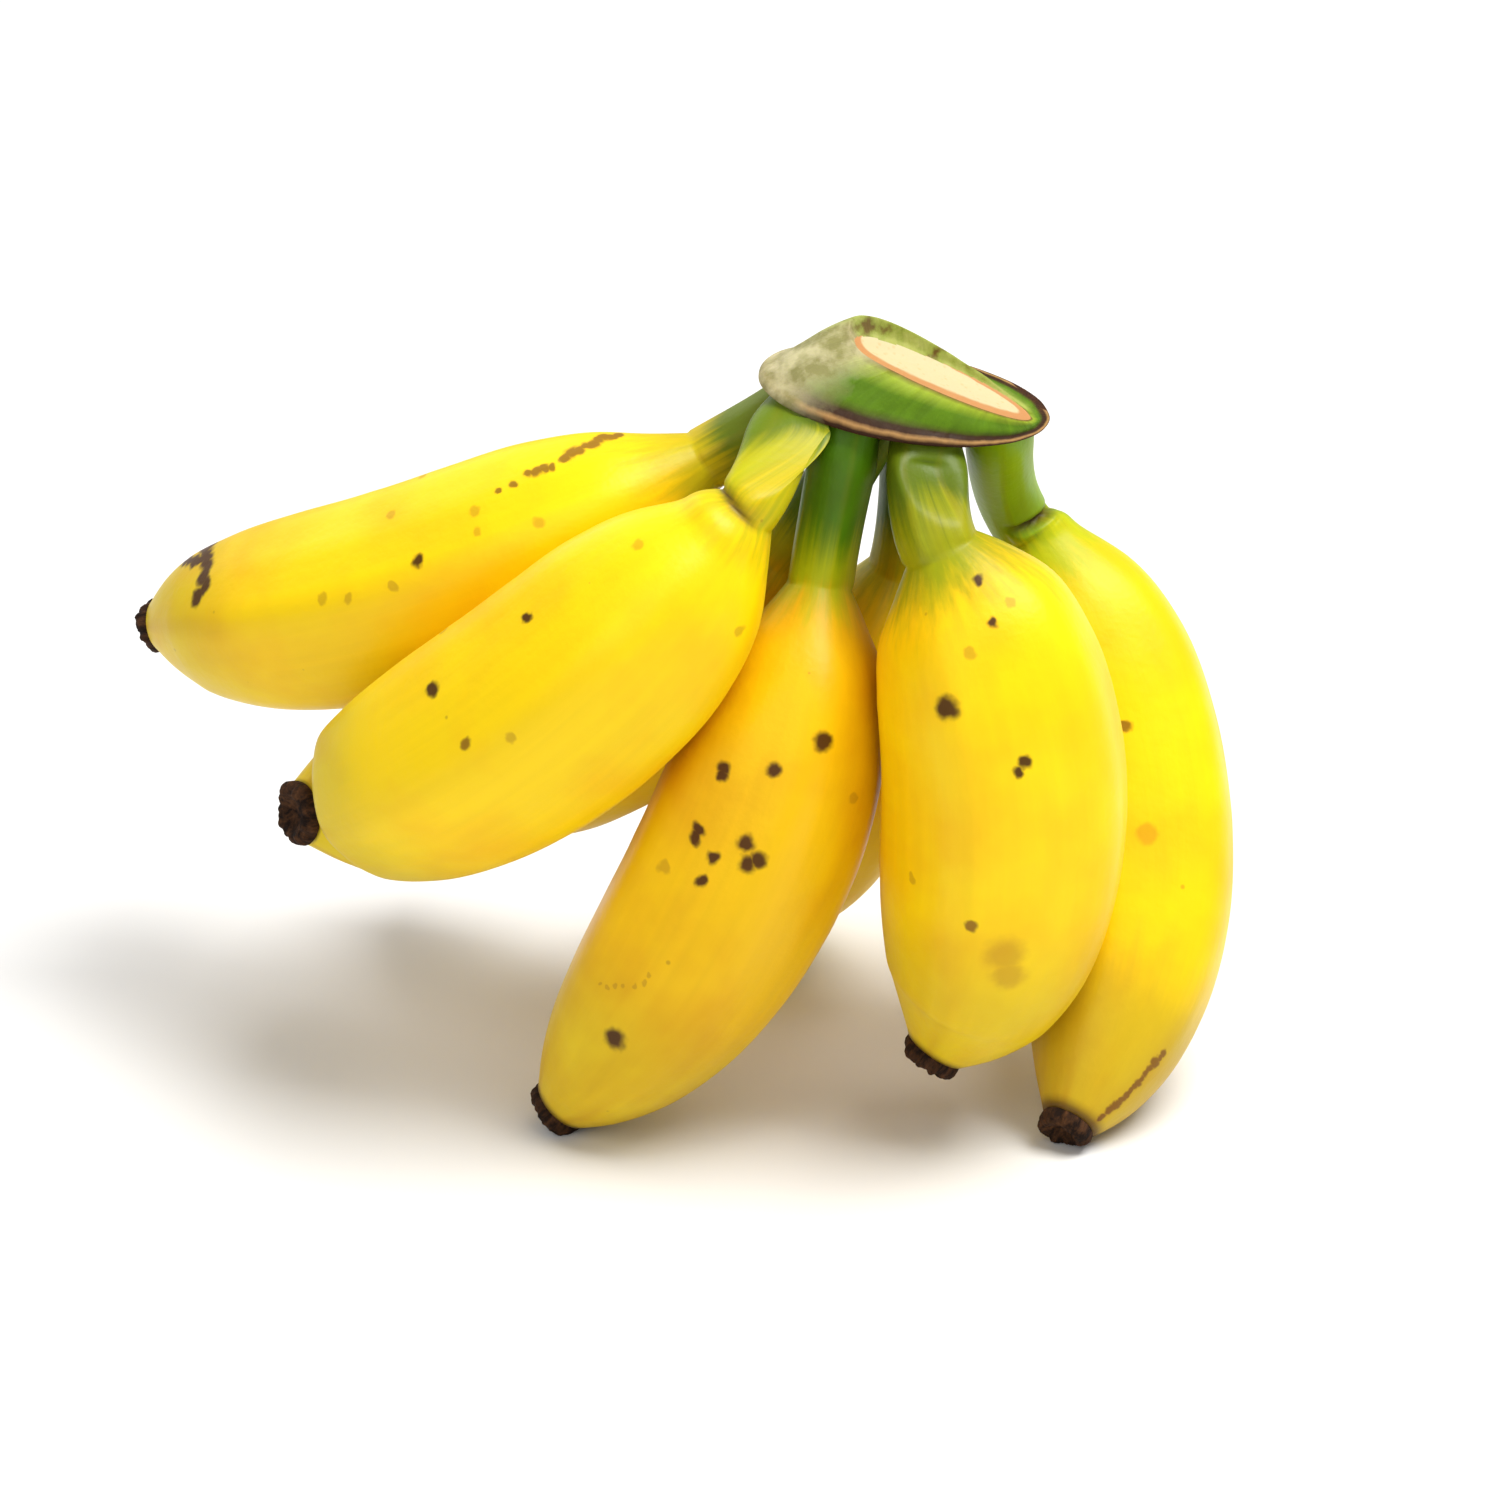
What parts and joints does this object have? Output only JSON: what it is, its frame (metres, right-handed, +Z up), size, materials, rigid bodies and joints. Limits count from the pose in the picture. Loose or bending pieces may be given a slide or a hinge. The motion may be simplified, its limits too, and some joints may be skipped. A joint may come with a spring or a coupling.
{
  "type": "bunch of bananas",
  "caption": "Hand of small ripe bananas hanging from one cut crown, standing crown up on the tips of its own fingers.",
  "frame": {"origin": "middle of the bounding box at its base, on the surface that the bunch stands on", "axes": "+X to the right along the longest extent, +Y away from the front along the shortest extent, +Z up"},
  "size_m": [0.1558, 0.0884, 0.1112],
  "materials": {
    "crown": "matt fibrous stalk, green skin and a pale cut face",
    "peel": "satin waxy banana peel"
  },
  "bodies": {
    "root": {"crown": "crown", "finger_1": "peel", "finger_2": "peel", "finger_3": "peel", "finger_4": "peel", "finger_5": "peel", "finger_6": "peel", "finger_7": "peel"}
  },
  "joints": []
}
